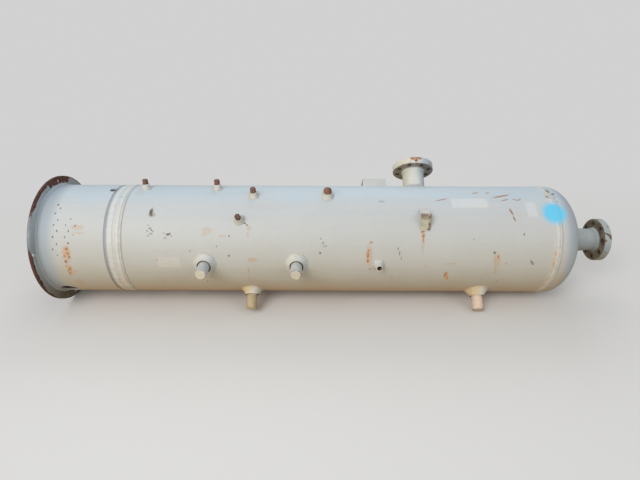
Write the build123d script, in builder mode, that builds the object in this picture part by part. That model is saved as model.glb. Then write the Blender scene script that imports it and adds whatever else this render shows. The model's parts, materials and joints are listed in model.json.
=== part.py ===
from build123d import *
from math import atan2, cos, radians, sin, sqrt, tan
import os

os.makedirs("parts", exist_ok=True)

# A vertical three-phase separator, lying on its side. All sizes are in millimetres.
# Heights run along the vessel from the underside of its base ring.
# Turns are degrees about the vessel: 90 is up as it lies, 180 faces the viewer, 270 is down.

# Shell and dished heads
shell_diameter = 609.6
shell_wall = 22.2
bottom_seam_height = 430.0
seam_to_seam = 2292.0
straight_flange = 47.0
head_depth = 152.4
weld_bevel = 47.5
weld_root = 3.0
weld_cap = 3.0
fit_gap = 0.2

# Skirt and base ring
skirt_wall = 9.5
vent_radius = 22.0
vent_rise = 5.0
vent_turn = 93.5
skirt_weld_reach = 17.0
skirt_weld_cap = 0.8
skirt_weld_edge = 2.0
opening_diameter = 101.6
opening_height = 82.0
opening_turn = 225
ring_overhang = 50.8
ring_inner_ledge = 25.4
ring_thickness = 12.7
ring_weld_leg = 9.0
anchor_hole = 27.0
anchor_count = 4
anchor_turn = 169.5

# Flanged nozzles with long welding necks
flange_diameter = 241.3
flange_thickness = 38.1
raised_face_diameter = 127.0
raised_face_height = 6.4
bolt_edge = 25.4
bolt_hole = 25.4
bolt_count = 8
neck_diameter = 127.0
neck_bore = 76.2
neck_fillet = 9.0
neck_weld = 16.0
rim_chamfer = 1.6
inlet_height = 2053.0
inlet_turn = 45
inlet_projection = 171.7
gas_outlet_projection = 204.1

# Outlet fittings, conical bosses with a threaded bore, in four pipe sizes
large_face = 78.0
large_weld_base = 116.0
large_bore = 57.0
large_height = 38.1
plugged_height = 30.0
relief_weld_base = 128.0
relief_height = 33.0
recess_diameter = 72.0
recess_depth = 6.0
medium_face = 50.0
medium_weld_base = 70.0
medium_bore = 34.0
medium_height = 27.0
small_face = 38.0
small_weld_base = 59.0
small_bore = 25.0
small_height = 28.0
gauge_face = 34.9
gauge_weld_base = 62.0
gauge_bore = 24.5
gauge_height = 42.0
boss_draft = 4.0
weld_slope = 50.0
thread_chamfer = 2.0
face_chamfer = 1.5

# Where the fittings stand on the shell
water_outlet_height = 650.0
water_outlet_turn = 270
water_level_height = 881.0
water_level_turn = 180
water_gauge_lower_height = 522.0
water_gauge_upper_height = 916.0
water_gauge_turn = 90
thermowell_height = 1061.0
thermowell_turn = 135
oil_outlet_height = 1105.0
oil_outlet_turn = 225
oil_gauge_lower_height = 1125.0
oil_gauge_upper_height = 1524.0
oil_gauge_turn = 105
oil_level_height = 1362.0
oil_level_turn = 180
gauge_tap_height = 1793.0
gauge_tap_turn = 180
relief_port_height = 2367.0
relief_port_turn = 225

# Plugs
thread_grip = 24.0
thread_show = 3.0
bull_diameter = 60.3
bull_length = 85.0
bull_round = 9.0
hex_across = 27.0
hex_head = 22.0
hex_crown = 3.0
button_diameter = 44.0
button_head = 20.0
button_round = 11.0

# Angle clip
clip_leg = 88.9
clip_thickness = 9.5
clip_length = 50.8
clip_height = 2029.5
clip_turn = 133.5

# Nameplate and its bracket
bracket_to_inlet = 245.0
bracket_turn = 45
bracket_reach = 58.0
bracket_length = 138.0
bracket_breadth = 102.0
bracket_thickness = 4.8
bracket_bend = 6.0
plate_length = 120.0
plate_breadth = 84.0
plate_thickness = 1.6
plate_corner = 4.0

# Places worked out from the sizes above
quarter = 90
shell_radius = shell_diameter / 2
bore_radius = shell_radius - shell_wall
ring_radius = shell_radius + ring_overhang
ring_bore_radius = shell_radius - ring_inner_ledge
anchor_radius = shell_radius + ring_overhang / 2
bolt_circle = flange_diameter - 2 * bolt_edge
inlet_face_radius = shell_radius + inlet_projection
bracket_height = inlet_height - bracket_to_inlet
top_seam_height = bottom_seam_height + seam_to_seam
bottom_tangent = bottom_seam_height - straight_flange
top_tangent = top_seam_height + straight_flange
bevel_reach = weld_root / 2 + shell_wall * tan(radians(weld_bevel))
skirt_bore = shell_radius - skirt_wall
skirt_top = bottom_tangent - head_depth * sqrt(1 - (skirt_bore / shell_radius) ** 2)
top_crown = top_tangent + head_depth
gas_outlet_face_height = top_crown + gas_outlet_projection

# The vessel rests on the foot of its base ring and on the cap of its top seam, so it leans a little
lean = atan2(ring_radius - shell_radius - weld_cap, top_seam_height - ring_thickness)
axis_start_up = ring_radius * cos(lean) + ring_thickness * sin(lean)
left_reach = -ring_radius * sin(lean)
right_reach = gas_outlet_face_height * cos(lean) + raised_face_diameter / 2 * sin(lean)
front_reach = shell_radius + plugged_height - recess_depth + thread_show + bull_length
inlet_rim_radius = inlet_face_radius - raised_face_height
slant = radians(inlet_turn)
back_reach = inlet_rim_radius * cos(slant) + flange_diameter / 2 * sin(slant)
start = ((-left_reach - right_reach) / 2, (front_reach - back_reach) / 2, axis_start_up)
vessel = Plane(origin=start, x_dir=(0, 1, 0), z_dir=(cos(lean), 0, -sin(lean)))


def station(height, turn):
    """A plane on the vessel's axis that faces out of the shell at this height and turn."""
    place = vessel.location * Location((0, 0, height)) * Location((0, 0, 0), (0, 0, turn))
    return Plane(place * Location((0, 0, 0), (0, 90, 0)))


def section(plane):
    """The plane of a turned profile: x runs from the plane's z axis outwards, y along that axis."""
    return Plane(plane.origin, x_dir=plane.x_dir, z_dir=-plane.y_dir)


def spin(plane):
    revolve(axis=Axis(plane.origin, plane.z_dir))


def write(piece, name):
    piece.part.label = name
    export_step(piece.part, f"parts/{name}.step")


def drill(radius, depth, *places):
    """Round holes whose middles lie at the given planes."""
    with Locations(*[place.location for place in places]):
        Cylinder(radius, depth, mode=Mode.SUBTRACT)


# The outline that every fitting is trimmed to
with BuildPart() as envelope:
    with BuildSketch(section(vessel)):
        outer = shell_radius + fit_gap
        reach = head_depth + fit_gap
        with BuildLine():
            lower = EllipticalCenterArc((0, bottom_tangent), outer, reach, start_angle=-quarter, arc_size=quarter)
            upper = EllipticalCenterArc((0, top_tangent), outer, reach, start_angle=0, arc_size=quarter)
            Line(lower @ 1, upper @ 0)
            Line(upper @ 1, lower @ 0)
        make_face()
    spin(vessel)


# Base ring
with BuildPart() as base_ring:
    with BuildSketch(vessel):
        Circle(ring_radius)
        Circle(ring_bore_radius, mode=Mode.SUBTRACT)
        with PolarLocations(anchor_radius, anchor_count, start_angle=anchor_turn):
            Circle(anchor_hole / 2, mode=Mode.SUBTRACT)
    extrude(amount=ring_thickness)
write(base_ring, "base_ring")


# Fillet weld between the base ring and the skirt
with BuildPart() as base_ring_weld:
    with BuildSketch(section(vessel)):
        with BuildLine():
            foot = (shell_radius + fit_gap, ring_thickness)
            Line(foot, (shell_radius + ring_weld_leg, ring_thickness))
            Line((shell_radius + ring_weld_leg, ring_thickness), (foot[0], ring_thickness + ring_weld_leg))
            Line((foot[0], ring_thickness + ring_weld_leg), foot)
        make_face()
    spin(vessel)
write(base_ring_weld, "base_ring_weld")


# Skirt with its access opening and a vent across its upper edge
opening = station(opening_height, opening_turn)
vent = station(skirt_top + vent_rise, vent_turn).offset(shell_radius)
with BuildPart() as skirt:
    with BuildSketch(vessel.offset(ring_thickness)):
        Circle(shell_radius)
        Circle(skirt_bore, mode=Mode.SUBTRACT)
    extrude(amount=skirt_top - ring_thickness)
    drill(opening_diameter / 2, shell_radius, opening.offset(shell_radius))
    drill(vent_radius, shell_radius / 2, vent)
write(skirt, "skirt")


# Weld that fills the groove between the skirt and the bottom head, and ends in a step
with BuildPart() as skirt_weld:
    with BuildSketch(section(vessel)):
        toe = skirt_top + skirt_weld_reach
        crest = (shell_radius + skirt_weld_cap, skirt_top + skirt_weld_reach / 2)
        with BuildLine():
            face = ThreePointArc((shell_radius, skirt_top), crest, (shell_radius, toe - skirt_weld_edge))
            Polyline(face @ 1, (bore_radius, toe), (bore_radius, skirt_top), face @ 0)
        make_face()
    spin(vessel)
    add(envelope.part, mode=Mode.SUBTRACT)
    drill(vent_radius, shell_radius / 2, vent)
write(skirt_weld, "skirt_weld")


def dished_head(seam, hole_radius, name):
    """A dished head with its edge bevelled for the seam, and a hole in the middle of its crown."""
    with BuildPart() as head:
        with BuildSketch(section(seam)):
            with BuildLine():
                middle = (0, straight_flange)
                inner_depth = head_depth - shell_wall
                outside = EllipticalCenterArc(middle, shell_radius, head_depth, arc_size=quarter)
                inside = EllipticalCenterArc(middle, bore_radius, inner_depth, arc_size=quarter)
                Line(outside @ 1, inside @ 1)
                Polyline(
                    inside @ 0,
                    (bore_radius, weld_root / 2 + fit_gap),
                    (shell_radius, bevel_reach + fit_gap),
                    outside @ 0,
                )
            make_face()
        spin(seam)
        drill(hole_radius, head_depth, seam.offset(straight_flange + head_depth))
    write(head, name)


# The bottom head is dished down into the skirt, so its seam faces the other way
bottom_seam = Plane(vessel.offset(bottom_seam_height).origin, x_dir=vessel.x_dir, z_dir=-vessel.z_dir)
top_seam = vessel.offset(top_seam_height)
dished_head(bottom_seam, large_bore / 2, "bottom_head")
dished_head(top_seam, neck_diameter / 2 + fit_gap, "top_head")


def seam_weld(seam, name):
    """A full V-groove weld with a low crown."""
    with BuildPart() as weld:
        with BuildSketch(section(seam)):
            with BuildLine():
                crown = ThreePointArc(
                    (shell_radius, -bevel_reach), (shell_radius + weld_cap, 0), (shell_radius, bevel_reach)
                )
                root = weld_root / 2
                Polyline(crown @ 1, (bore_radius, root), (bore_radius, -root), crown @ 0)
            make_face()
        spin(seam)
    write(weld, name)


seam_weld(bottom_seam, "bottom_seam_weld")
seam_weld(top_seam, "top_seam_weld")


# Outlet fittings: name, place on the vessel, size. The last number is the recess round a bull plug.
large = (large_face, large_weld_base, large_bore, large_height, 0)
plugged = (large_face, large_weld_base, large_bore, plugged_height, recess_depth)
relief = (large_face, relief_weld_base, large_bore, relief_height, recess_depth)
small = (small_face, small_weld_base, small_bore, small_height, 0)
medium = (medium_face, medium_weld_base, medium_bore, medium_height, 0)
gauge = (gauge_face, gauge_weld_base, gauge_bore, gauge_height, 0)
fittings = {
    "water_outlet": (station(water_outlet_height, water_outlet_turn), large),
    "water_level": (station(water_level_height, water_level_turn), plugged),
    "oil_outlet": (station(oil_outlet_height, oil_outlet_turn), plugged),
    "oil_level": (station(oil_level_height, oil_level_turn), plugged),
    "relief": (station(relief_port_height, relief_port_turn), relief),
    "water_gauge_lower": (station(water_gauge_lower_height, water_gauge_turn), small),
    "water_gauge_upper": (station(water_gauge_upper_height, water_gauge_turn), small),
    "thermowell": (station(thermowell_height, thermowell_turn), small),
    "oil_gauge_lower": (station(oil_gauge_lower_height, oil_gauge_turn), small),
    "oil_gauge_upper": (station(oil_gauge_upper_height, oil_gauge_turn), medium),
    "gauge_tap": (station(gauge_tap_height, gauge_tap_turn), gauge),
}


# Shell, bevelled at both ends and drilled for every nozzle
inlet = station(inlet_height, inlet_turn)
with BuildPart() as shell:
    with BuildSketch(section(vessel)):
        with BuildLine():
            Polyline(
                (bore_radius, bottom_seam_height + weld_root / 2 + fit_gap),
                (shell_radius, bottom_seam_height + bevel_reach + fit_gap),
                (shell_radius, top_seam_height - bevel_reach - fit_gap),
                (bore_radius, top_seam_height - weld_root / 2 - fit_gap),
                close=True,
            )
        make_face()
    spin(vessel)
    for place, size in fittings.values():
        drill(size[2] / 2, shell_radius / 2, place.offset(shell_radius))
    drill(neck_diameter / 2 + fit_gap, shell_radius / 2, inlet.offset(shell_radius))
write(shell, "shell")


def outlet_fitting(plane, surface, size, name):
    """A conical boss on the wall, whose weld runs out on the curve of the wall."""
    face, weld_base, bore, height, recess = size
    top = surface + height
    weld_run = (weld_base - face) / 2 - boss_draft
    weld_top = surface + weld_run * tan(radians(weld_slope))
    sink = (weld_base / 2) ** 2 / shell_diameter
    toe = weld_base / 2 + sink / tan(radians(weld_slope))
    with BuildPart() as fitting:
        with BuildSketch(section(plane)):
            with BuildLine():
                Polyline(
                    (bore / 2, surface - sink),
                    (toe, surface - sink),
                    (face / 2 + boss_draft, weld_top),
                    (face / 2, top - face_chamfer),
                    (face / 2 - face_chamfer, top),
                    (bore / 2 + thread_chamfer, top),
                    (bore / 2, top - thread_chamfer),
                    close=True,
                )
            make_face()
        spin(plane)
        if recess:
            drill(recess_diameter / 2, 2 * recess, plane.offset(top))
        add(envelope.part, mode=Mode.SUBTRACT)
    write(fitting, name)


for name, (place, size) in fittings.items():
    outlet_fitting(place, shell_radius, size, f"{name}_fitting")
drain = Plane(vessel.offset(bottom_tangent).origin, x_dir=vessel.x_dir, z_dir=-vessel.z_dir)
outlet_fitting(drain, head_depth, large, "drain_fitting")


def bull_plug(place, size, name):
    """A round solid plug with a rounded end, its thread just showing under its shoulder."""
    top = shell_radius + size[3] - size[4]
    with BuildPart() as plug:
        with BuildSketch(section(place)):
            with BuildLine():
                shank = size[2] / 2 - fit_gap
                shoulder = top + thread_show
                Polyline(
                    (0, top - thread_grip),
                    (shank, top - thread_grip),
                    (shank, shoulder),
                    (bull_diameter / 2, shoulder),
                    (bull_diameter / 2, shoulder + bull_length),
                    (0, shoulder + bull_length),
                    close=True,
                )
            make_face()
        spin(place)
        rounded = plug.edges().filter_by(GeomType.CIRCLE).sort_by(Axis(place.origin, place.z_dir))[-1]
        fillet(rounded, bull_round)
    write(plug, name)


for name in ("water_level", "oil_level", "oil_outlet", "relief"):
    bull_plug(*fittings[name], f"{name}_plug")


def hex_plug(place, size, name):
    """A threaded plug with a hexagon head, crowned at its top."""
    top = shell_radius + size[3]
    shoulder = top + thread_show
    with BuildPart() as plug:
        with BuildSketch(place.offset(shoulder)):
            RegularPolygon(hex_across / 2, 6, major_radius=False)
        extrude(amount=hex_head)
        with BuildSketch(section(place)):
            with BuildLine():
                Polyline(
                    (0, shoulder),
                    (hex_across / 2 + hex_crown, shoulder),
                    (hex_across / 2 + hex_crown, shoulder + hex_head - hex_crown),
                    (hex_across / 2 - hex_crown / 2, shoulder + hex_head),
                    (0, shoulder + hex_head),
                    close=True,
                )
            make_face()
        revolve(axis=Axis(place.origin, place.z_dir), mode=Mode.INTERSECT)
        with BuildSketch(place.offset(top - thread_grip)):
            Circle(size[2] / 2 - fit_gap)
        extrude(amount=thread_grip + thread_show)
    write(plug, name)


for name in ("water_gauge_lower", "water_gauge_upper", "thermowell", "oil_gauge_lower"):
    hex_plug(*fittings[name], f"{name}_plug")


# Round-headed plug in the upper oil gauge fitting
place, size = fittings["oil_gauge_upper"]
with BuildPart() as button_plug:
    with BuildSketch(place.offset(shell_radius + size[3] - thread_grip)):
        Circle(size[2] / 2 - fit_gap)
    extrude(amount=thread_grip + thread_show)
    with BuildSketch(place.offset(shell_radius + size[3] + thread_show)):
        Circle(button_diameter / 2)
    extrude(amount=button_head)
    rounded = button_plug.edges().filter_by(GeomType.CIRCLE).sort_by(Axis(place.origin, place.z_dir))[-1]
    fillet(rounded, button_round)
write(button_plug, "oil_gauge_upper_plug")


def flanged_nozzle(plane, inner_end, face, name):
    """A long welding neck with its flange, raised face and bolt holes."""
    rim = face - raised_face_height
    back = rim - flange_thickness
    neck = neck_diameter / 2
    with BuildPart() as nozzle:
        with BuildSketch(section(plane)):
            with BuildLine():
                Polyline(
                    (neck_bore / 2, inner_end),
                    (neck, inner_end),
                    (neck, back - neck_fillet),
                    (neck + neck_fillet, back),
                    (flange_diameter / 2 - rim_chamfer, back),
                    (flange_diameter / 2, back + rim_chamfer),
                    (flange_diameter / 2, rim - rim_chamfer),
                    (flange_diameter / 2 - rim_chamfer, rim),
                    (raised_face_diameter / 2, rim),
                    (raised_face_diameter / 2, face),
                    (neck_bore / 2, face),
                    close=True,
                )
            make_face()
        spin(plane)
        with BuildSketch(plane.offset(back)):
            with PolarLocations(bolt_circle / 2, bolt_count, start_angle=180 / bolt_count):
                Circle(bolt_hole / 2)
        extrude(amount=flange_thickness, mode=Mode.SUBTRACT)
    write(nozzle, name)


def neck_fillet_weld(plane, surface, name):
    """The fillet weld round a neck, trimmed to the wall that it stands on."""
    with BuildPart() as weld:
        with BuildSketch(section(plane)):
            neck = neck_diameter / 2 + fit_gap
            sink = (neck_diameter / 2 + neck_weld) ** 2 / shell_diameter
            with BuildLine():
                Polyline(
                    (neck, surface - sink),
                    (neck + neck_weld + sink, surface - sink),
                    (neck, surface + neck_weld),
                    close=True,
                )
            make_face()
        spin(plane)
        add(envelope.part, mode=Mode.SUBTRACT)
    write(weld, name)


flanged_nozzle(inlet, bore_radius, inlet_face_radius, "inlet_nozzle")
neck_fillet_weld(inlet, shell_radius, "inlet_weld")
inner_crown = top_crown - shell_wall
flanged_nozzle(vessel, inner_crown, gas_outlet_face_height, "gas_outlet_nozzle")
neck_fillet_weld(vessel, top_crown, "gas_outlet_weld")


# Short piece of rolled angle, welded by its two toes with its corner outwards
with BuildPart() as angle_clip:
    clip = station(clip_height, clip_turn)
    toe_spread = clip_leg / sqrt(2)
    corner = sqrt(shell_radius**2 - toe_spread**2) + toe_spread
    across = Plane(clip.origin, x_dir=clip.y_dir, z_dir=clip.x_dir)
    with BuildSketch(across.offset(-clip_length / 2)):
        with BuildLine():
            Polyline((-toe_spread, corner - toe_spread), (0, corner), (toe_spread, corner - toe_spread))
            offset(amount=clip_thickness, side=Side.RIGHT)
        make_face()
    extrude(amount=clip_length)
    add(envelope.part, mode=Mode.SUBTRACT)
write(angle_clip, "angle_clip")


# Channel bracket whose two legs run along the shell, and the bare plate on its outer face
with BuildPart() as nameplate_bracket:
    seat = station(bracket_height, bracket_turn)
    outer_face = shell_radius + bracket_reach
    across = Plane(seat.origin, x_dir=seat.y_dir, z_dir=seat.x_dir)
    with BuildSketch(across.offset(-bracket_length / 2)):
        with BuildLine():
            half = bracket_breadth / 2
            FilletPolyline(
                (-half, bore_radius),
                (-half, outer_face),
                (half, outer_face),
                (half, bore_radius),
                radius=bracket_bend,
            )
            offset(amount=bracket_thickness, side=Side.RIGHT)
        make_face()
    extrude(amount=bracket_length)
    add(envelope.part, mode=Mode.SUBTRACT)
write(nameplate_bracket, "nameplate_bracket")

with BuildPart() as nameplate:
    with BuildSketch(seat.offset(outer_face)):
        RectangleRounded(plate_length, plate_breadth, plate_corner)
    extrude(amount=plate_thickness)
write(nameplate, "nameplate")
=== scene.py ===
import json
import bpy
from math import asin, atan2, cos, pi, radians, sin, tan
from mathutils import Matrix, Vector


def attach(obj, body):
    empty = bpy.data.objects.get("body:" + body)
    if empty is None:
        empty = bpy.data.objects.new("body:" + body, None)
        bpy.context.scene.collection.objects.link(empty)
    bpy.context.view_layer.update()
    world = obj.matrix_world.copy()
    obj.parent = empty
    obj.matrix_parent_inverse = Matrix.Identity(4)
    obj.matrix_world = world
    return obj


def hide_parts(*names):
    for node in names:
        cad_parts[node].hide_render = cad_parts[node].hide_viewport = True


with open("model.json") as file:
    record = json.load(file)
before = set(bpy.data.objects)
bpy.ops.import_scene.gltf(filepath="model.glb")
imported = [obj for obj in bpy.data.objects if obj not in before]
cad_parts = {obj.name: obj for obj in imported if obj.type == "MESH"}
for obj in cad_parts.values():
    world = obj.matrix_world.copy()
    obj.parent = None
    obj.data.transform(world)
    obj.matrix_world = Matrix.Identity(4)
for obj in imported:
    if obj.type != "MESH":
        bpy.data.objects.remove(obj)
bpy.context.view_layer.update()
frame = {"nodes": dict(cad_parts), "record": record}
print("frame loaded:", len(frame["nodes"]), "nodes")

# The vessel's own line comes from the record: it runs from the middle of the base ring to the gas outlet
mounts = {mount["name"]: mount for mount in frame["record"]["mounts"]}
vesselFoot = Vector(mounts["anchor_bolts"]["pos_m"])
vesselLine = -Vector(mounts["anchor_bolts"]["axis"])
vesselUp = Vector((-vesselLine.z, 0, vesselLine.x))
vessel = {"radius": 0.3048, "skirtInside": 0.2968, "notchFoot": 0.3605, "notchEnd": 0.3830,
          "bottomSeam": 0.430, "topSeam": 2.722}


def outward(facing):
    # facing is in degrees: 0 looks to the camera, 90 up, 180 to the far side
    turned = radians(facing)
    return vesselUp * sin(turned) - Vector((0, cos(turned), 0))


def onVessel(along, facing, out):
    return vesselFoot + vesselLine * along + outward(facing) * out


# Materials
class Wire:  # a socket that sums can be done with
    def __init__(self, look, socket):
        self.look = look
        self.socket = socket

    def __add__(self, other):
        return self.look.maths("ADD", self, other)

    def __radd__(self, other):
        return self.look.maths("ADD", other, self)

    def __sub__(self, other):
        return self.look.maths("SUBTRACT", self, other)

    def __rsub__(self, other):
        return self.look.maths("SUBTRACT", other, self)

    def __mul__(self, other):
        return self.look.maths("MULTIPLY", self, other)

    def __rmul__(self, other):
        return self.look.maths("MULTIPLY", other, self)

    def __truediv__(self, other):
        return self.look.maths("DIVIDE", self, other)


class Look:  # one material while its nodes are being laid
    def __init__(self, name):
        self.material = bpy.data.materials.new(name)
        self.material.use_nodes = True
        self.nodes = self.material.node_tree.nodes
        self.links = self.material.node_tree.links
        self.nodes.clear()

    def node(self, kind, settings=None, sockets=None, output=0):
        made = self.nodes.new(kind)
        for key, value in (settings or {}).items():
            if key == "stops":
                stops = made.color_ramp.elements
                while len(stops) < len(value):
                    stops.new(1.0)
                for stop, (place, colour) in zip(stops, value):
                    stop.position = place
                    stop.color = (*colour, 1.0)
            else:
                setattr(made, key, value)
        for key, value in (sockets or {}).items():
            if isinstance(value, Wire):
                self.links.new(value.socket, made.inputs[key])
            else:
                made.inputs[key].default_value = value
        return Wire(self, made.outputs[output]) if made.outputs else None

    def maths(self, operation, *values):
        return self.node("ShaderNodeMath", {"operation": operation}, dict(enumerate(values)))

    def most(self, *values):
        biggest = values[0]
        for value in values[1:]:
            biggest = self.maths("MAXIMUM", biggest, value)
        return biggest

    def vector(self, operation, *values, output=0):
        return self.node("ShaderNodeVectorMath", {"operation": operation}, dict(enumerate(values)), output)

    def scaled(self, direction, amount):
        return self.node("ShaderNodeVectorMath", {"operation": "SCALE"}, {0: tuple(direction), 3: amount})

    def dot(self, place, direction):
        return self.vector("DOT_PRODUCT", place, tuple(direction), output=1)

    def length(self, place):
        return self.vector("LENGTH", place, output=1)

    def join(self, x, y, z):
        return self.node("ShaderNodeCombineXYZ", None, {0: x, 1: y, 2: z})

    def rise(self, value, low, high):
        # 0 below low, 1 above high, smooth between them
        return self.node("ShaderNodeMapRange", {"interpolation_type": "SMOOTHSTEP"},
                         {"Value": value, "From Min": low, "From Max": high})

    def band(self, value, middle, reach, soft):
        # 1 within reach of the middle, 0 beyond it
        return 1.0 - self.rise(self.maths("ABSOLUTE", value - middle), reach, reach + soft)

    def noise(self, place, scale, detail, rough):
        return self.node("ShaderNodeTexNoise", None,
                         {"Vector": place, "Scale": scale, "Detail": detail, "Roughness": rough})

    def ramp(self, value, stops):
        return self.node("ShaderNodeValToRGB", {"stops": stops}, {"Fac": value})

    def mix(self, share, first, second):
        first = first if isinstance(first, Wire) else (*first, 1.0)
        second = second if isinstance(second, Wire) else (*second, 1.0)
        return self.node("ShaderNodeMix", {"data_type": "RGBA"}, {0: share, 6: first, 7: second}, 2)

    def place(self):
        return self.node("ShaderNodeTexCoord", None, None, 3)

    def finish(self, colour, rough, metal=0.0, bump=None, depth=0.001, more=None):
        sockets = {"Base Color": colour, "Roughness": rough, "Metallic": metal, **(more or {})}
        if bump is not None:
            relief = {"Height": bump, "Distance": depth, "Strength": 1.0}
            sockets["Normal"] = self.node("ShaderNodeBump", None, relief)
        shader = self.node("ShaderNodeBsdfPrincipled", None, sockets)
        self.node("ShaderNodeOutputMaterial", None, {"Surface": shader})
        return self.material


def alongVessel(look):
    # where a point lies on the vessel: metres along it, the angle it faces, metres from its line
    place = look.vector("SUBTRACT", look.place(), tuple(vesselFoot))
    along = look.dot(place, vesselLine)
    front = look.dot(place, (0, -1, 0))
    up = look.dot(place, vesselUp)
    facing = look.maths("ARCTAN2", up, front)
    out = look.maths("SQRT", front * front + up * up)
    return along, facing, out, up


def fromFoot(look, foot, direction):
    # where a point lies on a piece that stands out: from its foot, metres up its line, metres from its line
    rel = look.vector("SUBTRACT", look.place(), tuple(foot))
    height = look.dot(rel, direction)
    out = look.length(look.vector("SUBTRACT", rel, look.scaled(direction, height)))
    return rel, height, out


def spots(look, unrolled, marks, ragged, slant=0.0):
    # each mark is metres along, degrees round, length and breadth in millimetres; 1 inside, 0 outside
    nearest = None
    if slant:
        turn = {"Vector": unrolled, "Angle": -slant}
        unrolled = look.node("ShaderNodeVectorRotate", {"rotation_type": "Z_AXIS"}, turn)
    for along, facing, length, breadth in marks:
        size = (2000 / length, 2000 / breadth, 0)
        middle = Matrix.Rotation(-slant, 3, "Z") @ Vector((along, radians(facing) * vessel["radius"], 0))
        shift = (-middle.x * size[0], -middle.y * size[1], 0)
        away = look.length(look.vector("MULTIPLY_ADD", unrolled, size, shift))
        nearest = away if nearest is None else look.maths("MINIMUM", nearest, away)
    return 1.0 - look.rise(nearest + ragged, 0.55, 1.15)


def scaled(tone, share):
    return tuple(part * share for part in tone)


def rustOn(look, grain):
    return look.mix(look.rise(grain, 0.38, 0.64), tones["darkRust"], tones["rust"])


tones = {
    "top": (0.56, 0.67, 0.75),
    "high": (0.62, 0.655, 0.67),
    "mid": (0.60, 0.615, 0.60),
    "waist": (0.57, 0.565, 0.51),
    "low": (0.52, 0.48, 0.38),
    "under": (0.60, 0.46, 0.30),
    "rust": (0.30, 0.12, 0.045),
    "darkRust": (0.080, 0.032, 0.022),
    "orange": (0.60, 0.29, 0.10),
    "tan": (0.58, 0.37, 0.17),
    "dark": (0.085, 0.082, 0.075),
    "spray": (0.15, 0.68, 1.0),
    "primer": (0.22, 0.12, 0.07),
    "darkPrimer": (0.11, 0.052, 0.034),
}


def heightTone(look, up):
    # cool blue-grey on top, a painted sky reflection; warmer below, tan with dust underneath
    stops = [(0.15, tones["under"]), (0.30, tones["low"]), (0.50, tones["waist"]),
             (0.76, tones["mid"]), (0.94, tones["high"]), (0.998, tones["top"])]
    return look.ramp(up / (2 * vessel["radius"]) + 0.5, stops)


shellMarks = {
    "chips": [(0.599, 52.9, 20, 52), (0.609, 34.2, 9, 9), (0.618, 33.0, 7, 8), (0.600, 35.6, 7, 7),
              (0.697, 29.9, 20, 11), (0.706, 31.0, 8, 8), (0.690, 30.4, 8, 7), (1.013, 28.7, 9, 9),
              (1.093, 41.5, 12, 8), (1.104, 39.6, 10, 8), (1.485, 12.3, 9, 13), (1.890, 16.7, 5, 18),
              (1.899, 12.4, 4, 30), (1.909, 7.5, 4, 22), (2.544, 31.6, 6, 16), (2.393, 13.4, 14, 13),
              (2.596, 3.4, 14, 11), (2.603, 1.6, 12, 10), (2.590, 5.0, 8, 8), (1.010, 9.0, 10, 12),
              (0.720, 141, 11, 12), (1.310, 163, 12, 9), (2.300, 121, 10, 8), (2.610, 171, 12, 10)],
    "olive": [(1.812, 67.4, 38, 15), (0.606, 50.0, 44, 30), (0.591, 39.2, 12, 12), (0.603, 36.2, 18, 12),
              (0.588, 33.3, 12, 18), (0.609, 30.4, 24, 12), (0.594, 28.4, 18, 12), (0.674, 31.4, 12, 12),
              (0.713, 28.5, 12, 12), (0.682, 26.5, 18, 12), (1.500, 22.3, 13, 19), (1.510, 19.2, 24, 13),
              (1.488, 26.5, 11, 11)],
    "rust": [(0.633, 4.8, 12, 12), (0.948, 18.6, 9, 9), (1.749, 23.0, 18, 11), (1.737, 15.1, 15, 17),
             (1.735, 10.0, 10, 34), (1.735, 4.0, 13, 22), (1.747, -5.0, 10, 12), (2.155, -12.0, 20, 44),
             (2.168, -17.0, 12, 34), (2.282, 26.7, 9, 7), (2.414, 9.0, 11, 22), (2.018, 33.6, 26, 14),
             (2.020, 30.0, 18, 26), (2.021, 25.5, 8, 30), (2.463, 1.8, 12, 8), (0.905, -16.5, 15, 8),
             (0.878, -23.3, 13, 15), (0.631, -25.5, 12, 11), (2.445, -22.1, 16, 14), (1.106, -7.0, 6, 26),
             (0.809, 13.8, 8, 8), (1.765, 147, 11, 18), (1.855, 148, 9, 15), (0.950, 161, 13, 12),
             (1.450, 172, 12, 20), (2.450, 152, 15, 10)],
    "scratch": [(2.464, 76.4, 116, 14), (2.477, 70.4, 50, 9), (2.332, 82.5, 46, 10), (2.398, 82.7, 30, 9),
                (2.547, 70.5, 42, 10), (2.136, 70.4, 84, 8), (2.528, 71.4, 34, 7)],
    "nick": [(2.490, 55.5, 46, 12), (2.500, 47.5, 34, 11)],
    "bloom": [(1.738, 8.0, 26, 110), (2.020, 30.0, 26, 50), (2.415, 8.0, 22, 70), (2.160, -14.0, 26, 66)],
    "stain": [(2.178, 1.8, 54, 13), (2.043, -1.2, 22, 34), (1.740, 10.0, 40, 130), (2.399, 7.5, 16, 60),
              (2.407, 1.4, 15, 60), (2.414, -5.0, 14, 60), (1.129, 4.7, 60, 30), (0.895, 34.0, 62, 36),
              (0.885, 30.0, 40, 16), (1.116, 36.2, 30, 32), (1.111, 29.8, 20, 28), (2.163, 1.0, 60, 14),
              (2.018, 21.0, 20, 100), (2.423, 3.7, 20, 60), (1.106, -14.0, 10, 120), (0.977, 28.7, 52, 14),
              (1.870, -20.0, 10, 100), (2.053, 158, 30, 170), (1.762, 158, 14, 130), (1.858, 160, 12, 100)],
    "patches": [
        # middle and size in metres along the vessel and round it
        {"along": 0.692, "length": 0.112, "round": 0.0085, "breadth": 0.054, "soft": 0.005,
         "tone": (0.74, 0.71, 0.64)},
        {"along": 2.281, "length": 0.172, "round": 0.3500, "breadth": 0.046, "soft": 0.020,
         "tone": (0.89, 0.89, 0.87)},
        {"along": 2.602, "length": 0.034, "round": 0.3120, "breadth": 0.074, "soft": 0.018,
         "tone": (0.84, 0.86, 0.86)},
    ],
}
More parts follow.
